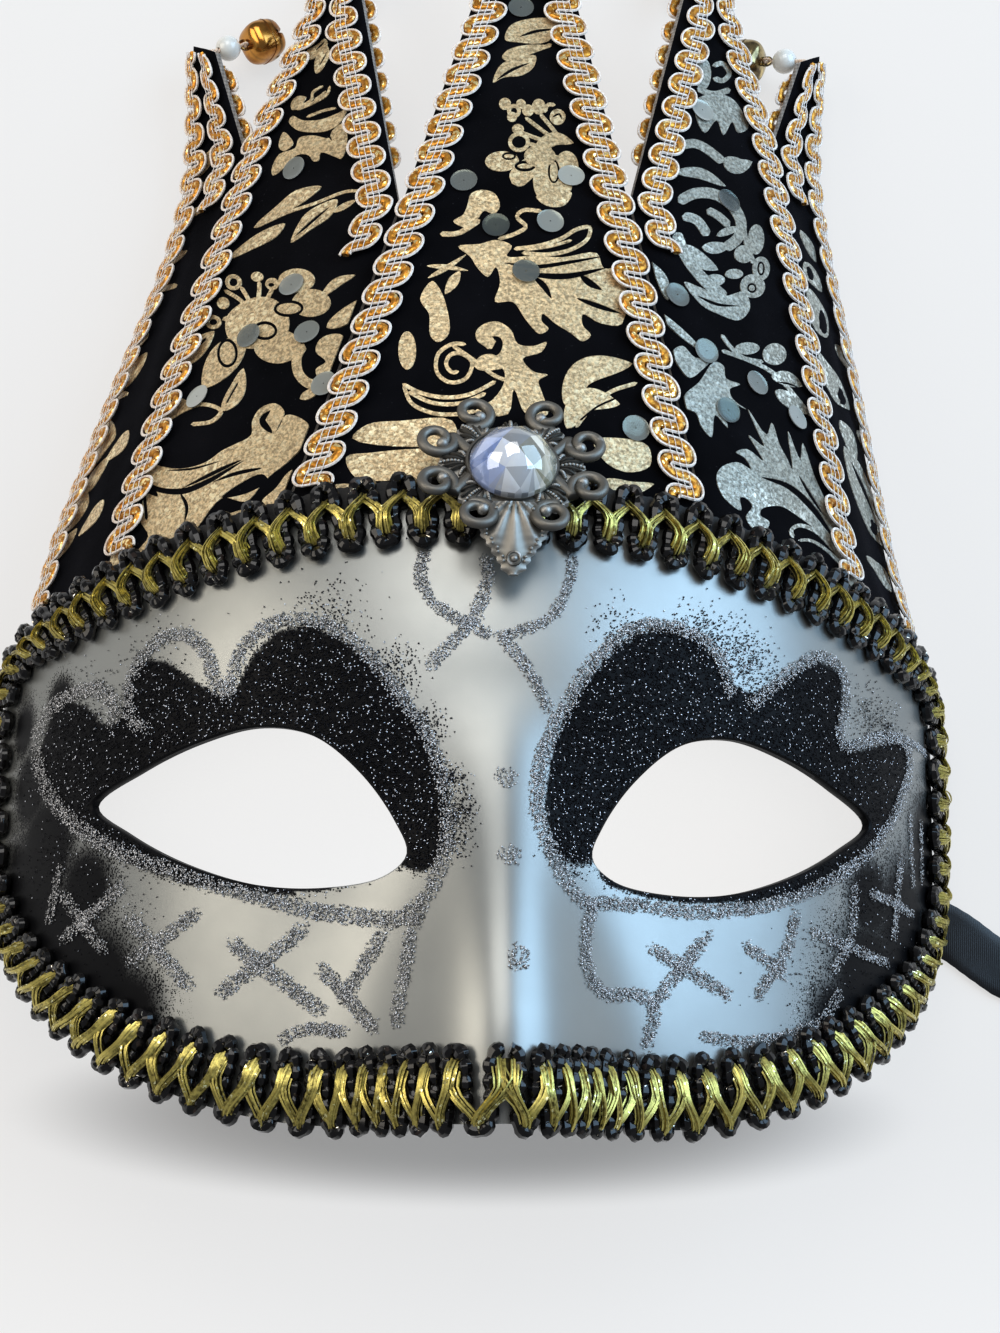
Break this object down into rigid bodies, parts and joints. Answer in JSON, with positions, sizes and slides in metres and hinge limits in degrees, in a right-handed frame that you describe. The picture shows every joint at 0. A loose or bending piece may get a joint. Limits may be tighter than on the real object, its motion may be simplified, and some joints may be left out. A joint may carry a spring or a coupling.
{
  "type": "jester half mask",
  "caption": "Jester half mask lying face up: moulded silver face with almond eye holes, beaded edge trim, a crown of braided fabric points with small bells, a jewelled brooch and satin ties.",
  "frame": {"origin": "on the table under the middle of the mask, without its ties", "axes": "+X to the right of the face as seen from the front, +Y from the chin side to the crown's tips, +Z out of the table through the front of the face"},
  "size_m": [0.221, 0.2232, 0.0821],
  "materials": {
    "silver": "satin silver paint with glitter drawing",
    "trim": "black glass beads with gold thread",
    "velvet": "black velvet with gold foil damask",
    "gimp": "gold lurex gimp braid with white cord",
    "bell": "polished",
    "pearl": "pearl",
    "pewter": "antique cast pewter",
    "stone": "faceted, foiled",
    "satin": "black satin"
  },
  "bodies": {
    "root": {"face_shell": "silver", "edge_trim": "trim", "crown_point_outer_left": "velvet", "braid_outer_left_a": "gimp", "braid_outer_left_b": "gimp", "lining_outer_left_b": "gimp", "crown_point_inner_left": "velvet", "braid_inner_left_a": "gimp", "braid_inner_left_b": "gimp", "lining_inner_left_a": "gimp", "lining_inner_left_b": "gimp", "crown_point_middle": "velvet", "braid_middle_a": "gimp", "braid_middle_b": "gimp", "lining_middle_a": "gimp", "lining_middle_b": "gimp", "crown_point_inner_right": "velvet", "braid_inner_right_a": "gimp", "braid_inner_right_b": "gimp", "lining_inner_right_a": "gimp", "lining_inner_right_b": "gimp", "crown_point_outer_right": "velvet", "braid_outer_right_a": "gimp", "braid_outer_right_b": "gimp", "lining_outer_right_a": "gimp", "pearl_outer_left": "pearl", "thread_outer_left": "gimp", "bell_outer_left": "bell", "pearl_inner_left": "pearl", "thread_inner_left": "gimp", "bell_inner_left": "bell", "pearl_middle": "pearl", "thread_middle": "gimp", "bell_middle": "bell", "pearl_inner_right": "pearl", "thread_inner_right": "gimp", "bell_inner_right": "bell", "pearl_outer_right": "pearl", "thread_outer_right": "gimp", "bell_outer_right": "bell", "brooch": "pewter", "brooch_stone": "stone", "tie_left": "satin", "tie_right": "satin"}
  },
  "joints": []
}
